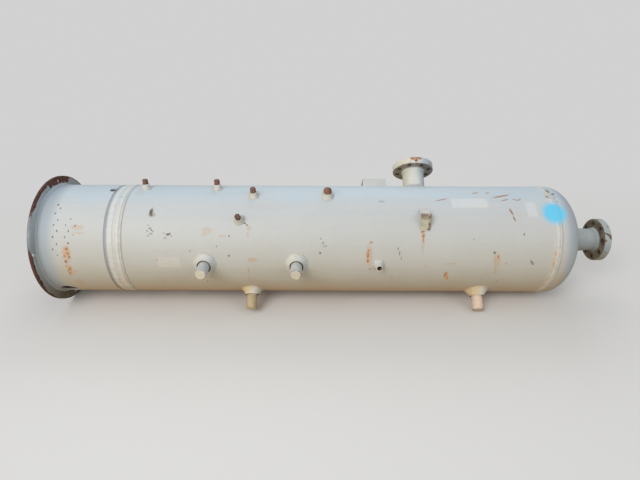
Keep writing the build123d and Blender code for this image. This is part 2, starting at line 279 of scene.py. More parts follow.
skirtMarks = {
    "chips": [(0.100, 61, 10, 12), (0.119, 57, 9, 9), (0.099, 51, 9, 10), (0.120, 44, 8, 11),
              (0.102, 39, 7, 10), (0.121, 33, 8, 12), (0.101, 27, 8, 11), (0.120, 20, 7, 14),
              (0.098, 15, 8, 11), (0.117, 9, 6, 8), (0.186, 45, 6, 9), (0.164, 39, 6, 9),
              (0.181, 33, 6, 13), (0.163, 27, 6, 12), (0.180, 21, 8, 11), (0.153, 2, 9, 12),
              (0.154, -8, 8, 9)],
    "rust": [(0.169, 15.3, 22, 20), (0.172, 11.0, 24, 20), (0.153, 8.0, 16, 18), (0.155, 2.2, 20, 22),
             (0.176, 7.1, 14, 18), (0.165, -5.9, 18, 28), (0.155, -11.8, 14, 26), (0.148, -2.9, 12, 15),
             (0.214, 37.9, 16, 14), (0.206, 29.1, 9, 9), (0.190, -9.0, 12, 9)],
    "bloom": [(0.168, 12.0, 46, 84), (0.163, -7.0, 30, 60)],
    "stain": [(0.164, 9, 52, 110), (0.162, -9, 40, 86), (0.228, 36.5, 76, 30), (0.180, -26, 56, 56),
              (0.236, 31, 80, 13)],
}


def paintLook(name, marks, inside=None, sprayed=False, seamDust=None, wearAndShade=None, paintedShade=None, paintedHighlight=0.0):
    look = Look(name)
    position = look.place()
    along, facing, out, up = alongVessel(look)
    unrolled = look.join(along, facing * vessel["radius"], 0.0)
    cloud = look.noise(position, 3.2, 5.0, 0.6)
    grain = look.noise(position, 38.0, 6.0, 0.7)
    fine = look.noise(position, 260.0, 3.0, 0.6)
    runs = look.noise(look.join(along * 26.0, facing * 1.1, 0.0), 1.0, 5.0, 0.65)
    wash = look.noise(look.join(along * 2.0, facing * 14.0, 0.0), 1.0, 5.0, 0.6)
    ragged = look.noise(position, 75.0, 5.0, 0.75) - 0.5 + (look.noise(position, 210.0, 3.0, 0.7) - 0.5) * 1.1
    broken = look.rise(look.noise(position, 120.0, 5.0, 0.8), 0.48, 0.60)
    specks = look.rise(look.noise(position, 150.0, 4.0, 0.7), 0.44, 0.60)

    # coats of dust and fading: share, pattern, where on the pattern it begins and is full, tone
    farSide = look.rise(look.maths("ABSOLUTE", facing), radians(100), radians(125))
    coats = [(0.14, cloud, 0.35, 0.70, (0.68, 0.68, 0.65)), (0.18, wash, 0.50, 0.78, (0.48, 0.46, 0.40)),
             (0.20, runs, 0.55, 0.80, (0.62, 0.59, 0.50)), (0.14, grain, 0.52, 0.75, (0.42, 0.40, 0.35)),
             (0.45 * farSide, runs + (cloud - 0.5) * 0.4, 0.52, 0.74, (0.44, 0.37, 0.26)),
             (0.10, fine, 0.50, 0.70, (0.76, 0.75, 0.72))]
    colour = heightTone(look, up + (cloud - 0.5) * 0.09)
    for share, pattern, begins, full, tone in coats:
        colour = look.mix(share * look.rise(pattern, begins, full), colour, tone)

    if paintedHighlight:
        # painted highlight: the surface paler in patches, as if more strongly lit
        colour = look.mix(paintedHighlight * (0.5 + 0.5 * look.rise(wash, 0.38, 0.62)), colour, (0.80, 0.80, 0.77))
    if paintedShade:
        # painted shade: a blue-grey tint that stands in for shadow, full at the first place along the vessel,
        # gone at the second
        full, gone = paintedShade
        shadeTint = 0.68 * look.rise((along - gone) / (full - gone), 0.0, 1.0)
        colour = look.mix(shadeTint, colour, (0.34, 0.42, 0.49))

    # rust and clay that have crept up from the ground
    low = 1.0 - look.rise(up + (cloud - 0.5) * 0.10, -0.300, -0.225)
    creep = low * look.rise(grain + (runs - 0.5) * 0.5, 0.40, 0.66)
    colour = look.mix(0.55 * creep, colour, (0.46, 0.25, 0.10))

    # small scattered flecks where the paint has let go
    cells = {"feature": "F1", "distance": "EUCLIDEAN"}
    flecks = look.node("ShaderNodeTexVoronoi", cells, {"Vector": unrolled, "Scale": 17.0}, 0)
    chance = look.node("ShaderNodeTexVoronoi", cells, {"Vector": unrolled, "Scale": 17.0}, 1)
    few = look.rise(look.node("ShaderNodeSeparateColor", None, {0: chance}, 0) + 0.14 * farSide, 0.80, 0.99)
    fleck = (1.0 - look.rise(flecks + ragged * 0.045, 0.030, 0.065)) * few
    colour = look.mix(0.55 * fleck, colour, (0.24, 0.15, 0.09))

    stain = spots(look, unrolled, marks["stain"], ragged * 0.9)
    colour = look.mix(stain * (0.20 + 0.62 * broken), colour, tones["tan"])
    if "bloom" in marks:
        bloom = spots(look, unrolled, marks["bloom"], ragged)
        bloom = 0.42 * bloom * look.rise(cloud + grain, 0.75, 1.1) + 0.12 * bloom
        colour = look.mix(bloom, colour, (0.72, 0.40, 0.20))
    if "olive" in marks:
        olive = spots(look, unrolled, marks["olive"], ragged)
        colour = look.mix(olive * (0.30 + 0.5 * specks), colour, (0.20, 0.18, 0.08))
    rust = spots(look, unrolled, marks["rust"], ragged * 1.3)
    rusty = look.mix(look.rise(grain, 0.38, 0.56), tones["rust"], tones["orange"])
    colour = look.mix(0.82 * rust, colour, rusty)
    for patch in marks.get("patches", []):
        # a paler patch in the paint
        fray = ragged * 0.004
        pale = look.band(along + fray, patch["along"], patch["length"] / 2, patch["soft"])
        pale = pale * look.band(facing * vessel["radius"] + fray, patch["round"],
                                patch["breadth"] / 2, patch["soft"])
        colour = look.mix((0.25 + 0.3 * specks) * pale, colour, patch["tone"])
    if "scratch" in marks:
        scratch = spots(look, unrolled, marks["scratch"], ragged, radians(17))
        colour = look.mix(0.95 * scratch * look.rise(grain + wash, 0.72, 0.92), colour, (0.43, 0.22, 0.10))
        nick = spots(look, unrolled, marks["nick"], ragged, radians(-72))
        colour = look.mix(0.9 * nick, colour, (0.38, 0.19, 0.09))
    halo = spots(look, unrolled, marks["chips"], ragged * 1.6 - 0.45)
    colour = look.mix(0.35 * halo * specks, colour, (0.28, 0.23, 0.16))
    chips = spots(look, unrolled, marks["chips"], ragged * 1.4)
    colour = look.mix(0.9 * chips, colour, look.mix(specks, tones["dark"], (0.13, 0.10, 0.07)))
    if seamDust:
        # ochre dust settled beside a girth seam
        seamAt, reach = seamDust
        beside = 1.0 - look.rise(look.maths("ABSOLUTE", along - seamAt) + (runs - 0.5) * 0.02, 0.0, reach)
        beside = beside * look.rise(cloud + grain * 0.5, 0.62, 0.95) * (1.0 - look.rise(up, 0.0, 0.16))
        colour = look.mix(0.5 * beside, colour, (0.56, 0.46, 0.28))

    # painted shade and grime in the step between skirt and head: blue-grey higher up, dark brown lower down
    notch = look.rise(along, vessel["notchFoot"], vessel["notchFoot"] + 0.002)
    beyond = look.rise(along + (grain - 0.5) * 0.006, vessel["notchEnd"] - 0.012, vessel["notchEnd"])
    notch = notch * (1.0 - beyond)
    grimeAndShade = look.mix(look.rise(up, -0.10, 0.10), (0.17, 0.15, 0.13), (0.22, 0.25, 0.29))
    colour = look.mix(0.68 * notch, colour, grimeAndShade)
    if wearAndShade:
        # ridges paler, as rubbed paint and painted highlight; dirt and painted shade in the dips between
        # them, and most along the edge toward the gas outlet
        amount, middle = wearAndShade
        dirtAndShade = amount * (0.30 + 0.70 * look.rise(along, middle - 0.012, middle + 0.012))
        ridge = look.rise(out + (grain - 0.5) * 0.001, vessel["radius"] + 0.0012, vessel["radius"] + 0.0026)
        colour = look.mix(dirtAndShade * (1.0 - ridge), colour, (0.30, 0.29, 0.26))
        colour = look.mix(ridge * (0.22 + 0.30 * look.rise(grain, 0.45, 0.6)), colour, (0.82, 0.80, 0.73))
    if sprayed:
        sprayMark = {"along": 2.716, "facing": 54.0}
        centre = (-sprayMark["along"], -radians(sprayMark["facing"]) * vessel["radius"], 0)
        away = look.length(look.vector("ADD", unrolled, centre))
        mist = 1.0 - look.rise(away + (fine - 0.5) * 0.024 + (cloud - 0.5) * 0.010, 0.038, 0.084)
        colour = look.mix(0.97 * mist, colour, tones["spray"])
    if inside:
        # bare primer gone brown on the hidden side of the wall
        hidden = 1.0 - look.rise(out, inside - 0.002, inside)
        brown = look.mix(look.rise(cloud + (grain - 0.5), 0.35, 0.75), tones["darkPrimer"], tones["primer"])
        colour = look.mix(hidden, colour, brown)

    bare = look.most(rust, chips, creep * 0.6)
    rough = 0.46 + 0.10 * cloud + 0.10 * grain + 0.26 * bare
    bump = 0.20 * cloud + 0.22 * grain + 0.08 * fine - 0.5 * bare
    return look.finish(colour, rough, 0.0, bump, 0.0006)


def wear(node, material):
    piece = frame["nodes"][node]
    piece.data.materials.clear()
    piece.data.materials.append(material)


shellLook = paintLook("shellPaint", shellMarks, sprayed=True)
headMarks = {"chips": [(2.757, 81, 16, 20), (2.755, 68, 8, 6)], "rust": [(2.757, 75.5, 12, 10)],
             "stain": [(2.78, -20, 50, 120)]}
# the head's blue-grey tint is painted shade
headLook = paintLook("headPaint", headMarks, sprayed=True, seamDust=(2.760, 0.05), paintedShade=(2.80, 2.742))
bottomMarks = {"chips": [(0.350, 86.5, 52, 50), (0.40, 60, 6, 5)], "rust": [(0.42, -26, 6, 6)],
               "stain": [(0.41, -24, 40, 70)]}
bottomLook = paintLook("bottomHeadPaint", bottomMarks, inside=vessel["skirtInside"], paintedHighlight=0.55)
# the skirt's blue-grey tint next to the base ring is a painted cast shadow
skirtLook = paintLook("skirtPaint", skirtMarks, inside=vessel["skirtInside"], paintedShade=(0.050, 0.122))
seamMarks = {"chips": [(2.742, 86.8, 40, 26), (2.735, 83, 16, 14), (2.748, 79, 12, 16), (2.712, 76, 20, 14)],
             "rust": [(2.707, 75.5, 12, 18), (2.711, 12.9, 14, 34), (2.711, 2.1, 14, 38),
                      (2.716, 73.5, 24, 12), (2.712, -8.0, 8, 14)],
             "stain": [(2.714, 7.0, 30, 150), (2.714, -22.0, 30, 120), (2.722, 80.0, 50, 60)]}
seamLook = paintLook("seamPaint", seamMarks, sprayed=True, seamDust=(2.712, 0.03),
                     wearAndShade=(0.50, vessel["topSeam"]), paintedHighlight=0.20)
lowSeamMarks = {"chips": [(0.42, 72, 6, 8)], "rust": [(0.452, 18, 6, 8), (0.44, -4, 6, 8)],
                "stain": [(0.44, -18, 30, 130)]}
lowSeamLook = paintLook("lowSeamPaint", lowSeamMarks, wearAndShade=(0.62, vessel["bottomSeam"]), paintedHighlight=0.25)
wear("shell", shellLook)
wear("top_head", headLook)
wear("bottom_head", bottomLook)
wear("skirt", skirtLook)
wear("skirt_weld", skirtLook)
print("shell, heads and skirt painted")


ringRim = {"painted": 0.3526, "face": 0.3544, "corner": 0.3552}  # metres from the vessel's line
# How far in from the rim rust has spread: where it faces, its reach and fade in degrees, then metres
rimRust = {"crown": (100, 16, 3, 0.034), "shoulder": (66, 12, 7, 0.012), "lowSide": (-5, 13, 8, 0.010),
           "sound": (30, 14, 8, -0.006)}


def ringLook():
    # grey enamel, rusted through in ragged patches along the rim
    look = Look("ringPaint")
    position = look.place()
    along, facing, out, up = alongVessel(look)
    cloud = look.noise(position, 5.0, 5.0, 0.6)
    grain = look.noise(position, 46.0, 6.0, 0.7)
    patches = look.noise(look.join(facing * 1.6, out * 9.0, along * 3.0), 4.5, 6.0, 0.8)
    # painted light and shade: the ring lighter and bluer up to its top, darker on its far side, and darker
    # still below with dirt and painted shade
    lit = look.mix(look.rise(facing, radians(84), radians(104)), (0.38, 0.45, 0.50), (0.28, 0.32, 0.34))
    colour = look.mix(look.rise(up, -0.22, 0.02), (0.24, 0.24, 0.20), lit)
    colour = look.mix(0.5 * look.rise(cloud, 0.42, 0.7), colour, (0.22, 0.21, 0.18))
    colour = look.mix(0.25 * look.rise(grain, 0.5, 0.7), colour, (0.40, 0.42, 0.41))

    # the rust's inner edge, and a stretch of the rim where the paint has held
    edge = ringRim["painted"]
    for middle, reach, fade, depth in rimRust.values():
        edge = edge - look.band(facing, radians(middle), radians(reach), radians(fade)) * depth
    kept = look.band(facing, radians(30), radians(12), radians(4))
    edge = edge + 0.004 * kept + (patches - 0.5) * 0.030 + (grain - 0.5) * 0.026
    rust = look.rise(out - edge, -0.0010, 0.0012)
    under = 1.0 - look.rise(along, 0.0005, 0.0015)
    rimFace = look.rise(out, ringRim["face"], ringRim["corner"])
    rimFace = rimFace * (0.45 + 0.5 * look.rise(grain + patches, 0.85, 1.05)) * (1.0 - 0.55 * kept)
    # dirt and painted shade on the ring's lower side
    dirtAndShade = look.rise(0.0 - facing, radians(38), radians(60)) * look.rise(grain + cloud, 0.72, 1.0)
    colour = look.mix(0.85 * dirtAndShade, colour, look.mix(grain, (0.055, 0.050, 0.036), (0.15, 0.125, 0.085)))
    rusty = look.mix(look.rise(grain, 0.35, 0.65), (0.050, 0.022, 0.018), (0.14, 0.055, 0.034))
    rust = look.most(rust, under, rimFace)
    colour = look.mix(rust, colour, rusty)
    return look.finish(colour, 0.5 + 0.36 * rust, 0.0, 0.3 * grain + 0.5 * rust * grain, 0.0012)


wear("base_ring", ringLook())
wear("base_ring_weld", skirtLook)


def standLook(name, foot, direction, rim, kind):
    # paint on a piece that stands out from the wall: foot and direction give its own line
    look = Look(name)
    position = look.place()
    rel, height, out = fromFoot(look, foot, direction)
    side = look.dot(rel, vesselLine)
    cloud = look.noise(position, 12.0, 5.0, 0.6)
    grain = look.noise(position, 90.0, 6.0, 0.7)
    drift = look.noise(position, 28.0, 5.0, 0.65)
    # painted light: the left side paler and warmer, as if sunlit, mixed with the same tone in dusty clouds
    sunSide = 1.0 - look.rise(side + (drift - 0.5) * 0.03, -0.020, 0.012)
    base = look.mix(kind["lean"] * sunSide + (1.0 - kind["lean"]) * look.rise(cloud, 0.35, 0.7),
                    kind["paint"], kind["sunAndDust"])
    # painted shade: the right side bluer, as far as the kind's span reaches
    shadeSide = look.rise(side + (drift - 0.5) * 0.02, 0.2 * kind["span"], kind["span"])
    base = look.mix(0.6 * shadeSide, base, (0.42, 0.47, 0.50))
    base = look.mix(0.25 * look.rise(grain, 0.5, 0.75), base, (0.42, 0.36, 0.24))
    edge = look.rise(height + (drift - 0.5) * 0.012, rim - 0.0035, rim + 0.0005)
    # dust and painted shade at the toe, next to the wall
    toe = 1.0 - look.rise(height + (drift - 0.5) * 0.010, rim - kind["tall"], rim - kind["tall"] + 0.010)
    base = look.mix(0.45 * toe * look.rise(grain, 0.4, 0.6), base, (0.36, 0.28, 0.16))
    rust = look.most(kind["edge"] * edge * look.rise(drift, 0.38, 0.6),
                     kind["patch"] * look.rise(drift + (grain - 0.5) * 0.4, 0.60, 0.72))
    bore = 1.0 - look.rise(out, kind["bore"] - 0.0002, kind["bore"] + 0.0006)
    colour = look.mix(rust, base, rustOn(look, grain))
    colour = look.mix(bore, colour, look.mix(grain, scaled(kind["pit"], 0.35), kind["pit"]))
    rough = 0.46 + 0.14 * cloud + 0.3 * rust
    return look.finish(colour, rough, 0.0, 0.3 * grain + 0.3 * drift - 0.4 * rust, 0.0006)


# Kinds of fitting: the reach of the painted shade on the right, the depth below the rim of the toe's dust and
# painted shade, the bore, shares of rust, and the share of the painted sunlit and dusty tone that lies on the
# left
creamKind = {"span": 0.052, "tall": 0.036, "bore": 0.0285, "edge": 0.35, "patch": 0.15, "lean": 0.4,
             "paint": (0.65, 0.67, 0.65), "sunAndDust": (0.72, 0.69, 0.58), "pit": (0.10, 0.045, 0.030)}
yellowed = {"edge": 0.6, "patch": 0.35, "lean": 0.75,
            "paint": (0.74, 0.71, 0.64), "sunAndDust": (0.77, 0.58, 0.31)}
wideBoss = {"rim": 0.3348, "bore": 0.0360}
plainBoss = {"rim": 0.3328, "bore": 0.0125, "tall": 0.028, "edge": 0.45, "span": 0.026}
stands = {
    "water_outlet": {"along": 0.650, "facing": -90, "rim": 0.3429},
    "water_level": {"along": 0.881, "facing": 0, **wideBoss},
    "oil_outlet": {"along": 1.105, "facing": -45, **wideBoss, **yellowed},
    "oil_level": {"along": 1.362, "facing": 0, **wideBoss},
    "relief": {"along": 2.367, "facing": -45, **wideBoss, **yellowed, "rim": 0.3378},
    "water_gauge_lower": {"along": 0.522, "facing": 90, **plainBoss},
    "water_gauge_upper": {"along": 0.916, "facing": 90, **plainBoss},
    "thermowell": {"along": 1.061, "facing": 45, **plainBoss},
    "oil_gauge_lower": {"along": 1.125, "facing": 75, **plainBoss},
    "oil_gauge_upper": {"along": 1.524, "facing": 75, **plainBoss, "rim": 0.3318, "bore": 0.0170},
    "gauge_tap": {"along": 1.793, "facing": 0, "bore": 0.01225, "rim": 0.3468, "tall": 0.042, "span": 0.028,
                  "pit": (0.26, 0.11, 0.07)},
}
for name, stand in stands.items():
    kind = dict(creamKind)
    kind.update({key: value for key, value in stand.items() if key in kind})
    footing = onVessel(stand["along"], stand["facing"], 0)
    stand["look"] = standLook(f"{name}Paint", footing, outward(stand["facing"]), stand["rim"], kind)
    wear(f"{name}_fitting", stand["look"])
drain = {"along": 0.383, "rim": 0.1905}
drainFoot = onVessel(drain["along"], 0, 0)
drainKind = dict(creamKind, paint=(0.30, 0.20, 0.14), sunAndDust=(0.24, 0.14, 0.09), patch=0.8)
drainLook = standLook("drainPaint", drainFoot, -vesselLine, drain["rim"], drainKind)
wear("drain_fitting", drainLook)


def plugLook(name, plug, stand):
    # tip is how far the plug's end stands from the vessel's line
    look = Look(name)
    position = look.place()
    foot = onVessel(stand["along"], stand["facing"], 0)
    rel, height, out = fromFoot(look, foot, outward(stand["facing"]))
    side = look.dot(rel, vesselLine)
    cloud = look.noise(position, 30.0, 5.0, 0.65)
    grain = look.noise(position, 160.0, 5.0, 0.7)
    # painted shade: the plug's right side turns to the deeper tone; clouds add that tone at random too
    turned = look.rise(side + (cloud - 0.5) * 0.02, -0.004, 0.026)
    colour = look.mix(0.55 * turned + 0.45 * look.rise(cloud, 0.36, 0.66), plug["pale"], plug["deep"])
    colour = look.mix(plug["mottle"] * look.rise(grain, 0.48, 0.70), colour, tones["darkRust"])
    end = look.rise(height, plug["tip"] - 0.0030, plug["tip"] - 0.0005)
    circles = look.maths("SINE", out * (2 * pi / 0.007)) * end
    ringed = plug.get("ringed", 0.0)
    if ringed:
        colour = look.mix(0.8 * end, colour, (0.84, 0.76, 0.58))
        # turning marks on the end, and its edge knocked about
        brink = look.rise(height, plug["tip"] - 0.010, plug["tip"] - 0.004) * (1.0 - end)
        knocked = ringed * look.most(brink, look.rise(circles, 0.3, 0.9)) * look.rise(cloud, 0.3, 0.6)
        colour = look.mix(knocked, colour, (0.16, 0.11, 0.08))
    return look.finish(colour, 0.52 + 0.3 * cloud, 0.0, grain + cloud + 0.8 * ringed * circles, 0.0007)


rustyPlug = {"tip": 0.3578, "mottle": 0.5, "pale": (0.28, 0.135, 0.095), "deep": (0.12, 0.056, 0.044)}
plugs = {
    "water_gauge_lower": rustyPlug,
    "water_gauge_upper": rustyPlug,
    "oil_gauge_lower": rustyPlug,
    "thermowell": {"tip": 0.3578, "mottle": 0.6,
                   "pale": (0.16, 0.086, 0.064), "deep": (0.075, 0.042, 0.036)},
    "oil_gauge_upper": {"tip": 0.3548, "mottle": 0.5,
                        "pale": (0.32, 0.15, 0.085), "deep": (0.11, 0.050, 0.038)},
    "water_level": {"tip": 0.4168, "mottle": 0.10, "ringed": 0.45,
                    "pale": (0.62, 0.62, 0.58), "deep": (0.46, 0.51, 0.54)},
    "oil_level": {"tip": 0.4168, "mottle": 0.10, "ringed": 0.65,
                  "pale": (0.66, 0.65, 0.60), "deep": (0.44, 0.50, 0.54)},
    "oil_outlet": {"tip": 0.4168, "mottle": 0.20, "ringed": 0.4,
                   "pale": (0.58, 0.46, 0.28), "deep": (0.37, 0.32, 0.20)},
    "relief": {"tip": 0.4198, "mottle": 0.18, "ringed": 0.8,
               "pale": (0.84, 0.68, 0.50), "deep": (0.70, 0.56, 0.47)},
}
for name, plug in plugs.items():
    wear(f"{name}_plug", plugLook(f"{name}PlugSteel", plug, stands[name]))
print("fittings and plugs painted")


# Both flanges: thickness, then radii of the neck, the bolt circle, the holes' outer reach and the bore
flange = {"thick": 0.0445, "neck": 0.066, "holes": 0.09525, "holesEnd": 0.1084, "bore": 0.0383}


def nozzleLook(name, foot, direction, face, grimeAndShadeOnBack, streaks, paint):
    # face is how far the gasket's face lies from the foot; each streak is a place, a reach and a paleness
    look = Look(name)
    position = look.place()
    rel, height, out = fromFoot(look, foot, direction)
    cloud = look.noise(position, 9.0, 5.0, 0.6)
    grain = look.noise(position, 80.0, 6.0, 0.7)
    drift = look.noise(position, 24.0, 5.0, 0.65)
    # painted light and shade along one direction: the inlet's neck cream on its left and blue-grey on its
    # right, the gas outlet darker below and lighter on top
    side = look.dot(rel, paint["from"]) + (cloud - 0.5) * 0.04
    base = look.mix(look.rise(side, -0.060, -0.005), paint["first"], paint["middle"])
    base = look.mix(look.rise(side, 0.000, 0.055), base, paint["last"])
    base = look.mix(0.25 * look.rise(drift, 0.5, 0.7), base, (0.52, 0.48, 0.38))
    back = face - flange["thick"]
    onBack = 1.0 - look.rise(height, back + 0.0008, back + 0.0016)
    onBack = onBack * look.rise(out, flange["neck"], flange["neck"] + 0.008)
    # grime and painted shade on the back of the flange
    grimeAndShade = look.mix(look.rise(drift, 0.4, 0.62), (0.090, 0.080, 0.058), (0.23, 0.205, 0.15))
    colour = look.mix(grimeAndShadeOnBack * onBack * look.rise(drift + (cloud - 0.5), 0.20, 0.38), base, grimeAndShade)
    edge = look.rise(out + (drift - 0.5) * 0.010, 0.1175, 0.1210) * look.rise(drift, 0.56, 0.66)
    rusty = rustOn(look, grain)
    colour = look.mix(0.7 * edge, colour, rusty)
    for centre, reach, pale in streaks:
        # a run of rust across the rim
        away = look.length(look.vector("SUBTRACT", position, tuple(centre)))
        run = 1.0 - look.rise(away + (drift - 0.5) * (reach * 1.6), reach * 0.5, reach)
        fresh = look.mix(look.rise(grain, 0.4, 0.6), scaled((0.20, 0.065, 0.040), pale),
                         scaled(tones["orange"], pale))
        colour = look.mix(0.85 * run, colour, fresh)

    # the studs' holes are rusty inside and round their mouths
    mouth = look.maths("ABSOLUTE", out - flange["holes"])
    ring = 1.0 - look.rise(mouth + (drift - 0.5) * 0.006, 0.011, 0.0165)
    inHole = look.rise(height, back + 0.0012, back + 0.0022)
    inHole = inHole * (1.0 - look.rise(height, face - 0.0086, face - 0.0076))
    inHole = inHole * (1.0 - look.rise(out, flange["holesEnd"], flange["holesEnd"] + 0.0006))
    inHole = inHole * look.rise(out, flange["neck"], flange["neck"] + 0.004)
    colour = look.mix(0.20 * ring, colour, rusty)
    colour = look.mix(inHole, colour, look.mix(grain, (0.035, 0.020, 0.014), (0.13, 0.060, 0.035)))
    front = look.rise(height, face - 0.0072, face - 0.0060)
    gasket = look.mix(look.rise(grain + cloud * 0.4, 0.5, 0.8), (0.16, 0.085, 0.055), (0.30, 0.26, 0.22))
    colour = look.mix(front, colour, gasket)
    bore = 1.0 - look.rise(out, flange["bore"], flange["bore"] + 0.0009)
    colour = look.mix(bore, colour, (0.05, 0.026, 0.02))
    grooves = look.maths("SINE", out * (2 * pi / 0.0008)) * front * 0.3
    return look.finish(colour, 0.48 + 0.2 * cloud + 0.2 * front, 0.0, 0.3 * grain + grooves, 0.0005)


gasRuns = [(onVessel(3.085, 44, 0.1205), 0.006, 0.36), (onVessel(3.092, 42, 0.1205), 0.007, 0.36),
           (onVessel(3.099, 40, 0.1205), 0.009, 0.36), (onVessel(3.107, 37, 0.1205), 0.010, 0.36),
           (onVessel(3.115, 31, 0.1205), 0.011, 0.30), (onVessel(3.082, 23, 0.1200), 0.012, 0.40)]
gasFace = 3.1255
# gas outlet tones: darkest below as painted shade, lighter on top
gasPaint = {"from": vesselUp,
            "first": (0.30, 0.30, 0.26), "middle": (0.34, 0.39, 0.42), "last": (0.42, 0.47, 0.47)}
gasLook = nozzleLook("gasOutletPaint", vesselFoot, vesselLine, gasFace, 1.0, gasRuns, gasPaint)
wear("gas_outlet_nozzle", gasLook)
inlet = {"along": 2.053, "facing": 135, "rim": 0.465, "face": 0.4765}
inletOut = outward(inlet["facing"])
inletFoot = onVessel(inlet["along"], inlet["facing"], 0)
inletRim = inletFoot + inletOut * inlet["rim"]
inletRuns = [(inletRim + outward(45) * 0.118 - vesselLine * 0.024, 0.017, 1.0),
             (inletRim + outward(45) * 0.120, 0.018, 1.0),
             (inletRim + outward(45) * 0.118 + vesselLine * 0.022, 0.016, 1.0),
             (inletRim - inletOut * 0.018 + outward(45) * 0.120, 0.011, 1.3)]
# inlet tones: cream on the lit left, blue-grey on the shaded right
inletPaint = {"from": vesselLine,
              "first": (0.78, 0.74, 0.60), "middle": (0.78, 0.78, 0.75), "last": (0.47, 0.55, 0.60)}
inletLook = nozzleLook("inletPaint", inletFoot, inletOut, inlet["face"], 0.8, inletRuns, inletPaint)
wear("inlet_nozzle", inletLook)
wear("gas_outlet_weld", headLook)
wear("inlet_weld", shellLook)


# Clip: where each change of its paint begins and ends, in degrees for the fold, else in metres
clip = {"fold": (45.5, 47.0), "ridge": (0.339, 0.352), "rightEnd": (2.040, 2.052),
        "foot": (0.309, 0.317), "footAlong": (2.034, 2.046)}


def clipLook():
    look = Look("clipPaint")
    along, facing, out = alongVessel(look)[:3]
    grain = look.noise(look.place(), 90.0, 6.0, 0.7)
    drift = look.noise(look.place(), 30.0, 5.0, 0.65)
    # painted shade: the lower leg, which faces down, in darker greenish beige; the upper leg in light grey
    lower = 1.0 - look.rise(facing, radians(clip["fold"][0]), radians(clip["fold"][1]))
    shadedLeg = look.mix(look.rise(drift, 0.4, 0.6), (0.48, 0.48, 0.36), (0.61, 0.59, 0.45))
    colour = look.mix(lower, (0.62, 0.62, 0.58), shadedLeg)
    ridge = look.rise(out + (drift - 0.5) * 0.024, *clip["ridge"])
    right = look.rise(along + (drift - 0.5) * 0.024, *clip["rightEnd"])
    foot = lower * (1.0 - look.rise(out + (drift - 0.5) * 0.012, *clip["foot"]))
    foot = foot * look.rise(along, *clip["footAlong"])
    rust = look.most(ridge * look.rise(grain, 0.35, 0.6), right * lower * look.rise(drift, 0.42, 0.6), foot)
    colour = look.mix(0.9 * rust, colour, look.mix(grain, tones["darkRust"], (0.26, 0.11, 0.05)))
    return look.finish(colour, 0.5 + 0.3 * rust, 0.0, 0.5 * grain - 0.4 * rust, 0.0008)


def plateLook(name, pale, deep, metal, roughness):
    look = Look(name)
    position = look.place()
    cloud = look.noise(position, 14.0, 5.0, 0.6)
    grain = look.noise(look.vector("MULTIPLY", position, (1.0, 9.0, 9.0)), 120.0, 4.0, 0.6)
    colour = look.mix(look.rise(cloud, 0.38, 0.68), pale, deep)
    colour = look.mix(0.2 * look.rise(grain, 0.5, 0.7), colour, (0.30, 0.26, 0.20))
    return look.finish(colour, roughness + 0.15 * cloud, metal, 0.4 * grain, 0.0004)


bracketPaint = plateLook("bracketPaint", (0.66, 0.67, 0.67), (0.60, 0.61, 0.59), 0.0, 0.46)
plateMetal = plateLook("plateMetal", (0.56, 0.56, 0.54), (0.42, 0.41, 0.38), 0.9, 0.35)
wear("angle_clip", clipLook())
wear("nameplate_bracket", bracketPaint)
wear("nameplate", plateMetal)
print("nozzles, clip and nameplate painted")


# Weld beads: each is turned about the Y axis, then laid in its place
def only(piece):
    bpy.ops.object.select_all(action="DESELECT")
    piece.select_set(True)
    bpy.context.view_layer.objects.active = piece


def lay(piece, spot, side, axis):
    # the piece's X goes to side and its Y to axis
    turned = Matrix((side, axis, side.cross(axis))).transposed().to_4x4()
    piece.matrix_world = Matrix.Translation(spot) @ turned
    only(piece)
    bpy.ops.object.transform_apply(location=True, rotation=True, scale=True)
    bpy.ops.object.shade_smooth()


def hand(piece, name, material):
    piece.name = name
    piece.data.name = name
    piece.data.materials.clear()
    piece.data.materials.append(material)
    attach(piece, "root")


def editAll():
    bpy.ops.object.mode_set(mode="EDIT")
    bpy.ops.mesh.select_all(action="SELECT")


def closeUp():
    bpy.ops.mesh.select_all(action="SELECT")
    bpy.ops.mesh.normals_make_consistent(inside=False)
    bpy.ops.object.mode_set(mode="OBJECT")


def copyOf(pattern):
    only(pattern)
    bpy.ops.object.duplicate(linked=False)
    return bpy.context.object


def weldRing(radius, wide, high, pitch, ripple, sides=8):
    # wide and high are half its breadth along Y and half its thickness; it draws in between its ripples
    steps = 2 * round(pi * radius / pitch)
    bpy.ops.object.select_all(action="DESELECT")
    bpy.ops.mesh.primitive_circle_add(vertices=sides, radius=high, location=(radius, 0, 0))
    piece = bpy.context.object
    bpy.ops.object.transform_apply(location=True, rotation=True, scale=True)
    bpy.ops.object.mode_set(mode="EDIT")
    bpy.ops.mesh.select_mode(type="VERT")
    bpy.ops.mesh.select_all(action="SELECT")
    bpy.ops.transform.resize(value=(1.0, wide / high, 1.0), center_override=(radius, 0, 0))
    bpy.ops.mesh.spin(steps=steps, angle=2 * pi, center=(0, 0, 0), axis=(0, 1, 0))
    bpy.ops.mesh.select_all(action="SELECT")
    bpy.ops.mesh.remove_doubles(threshold=0.00002)
    bpy.ops.mesh.normals_make_consistent(inside=False)
    bpy.ops.mesh.select_all(action="DESELECT")
    bpy.ops.object.mode_set(mode="OBJECT")
    for corner in piece.data.vertices:
        corner.select = round(atan2(corner.co.z, corner.co.x) / (2 * pi) * steps) % 2 == 1
    bpy.ops.object.mode_set(mode="EDIT")
    bpy.ops.transform.shrink_fatten(value=-ripple)
    bpy.ops.object.mode_set(mode="OBJECT")
    return piece


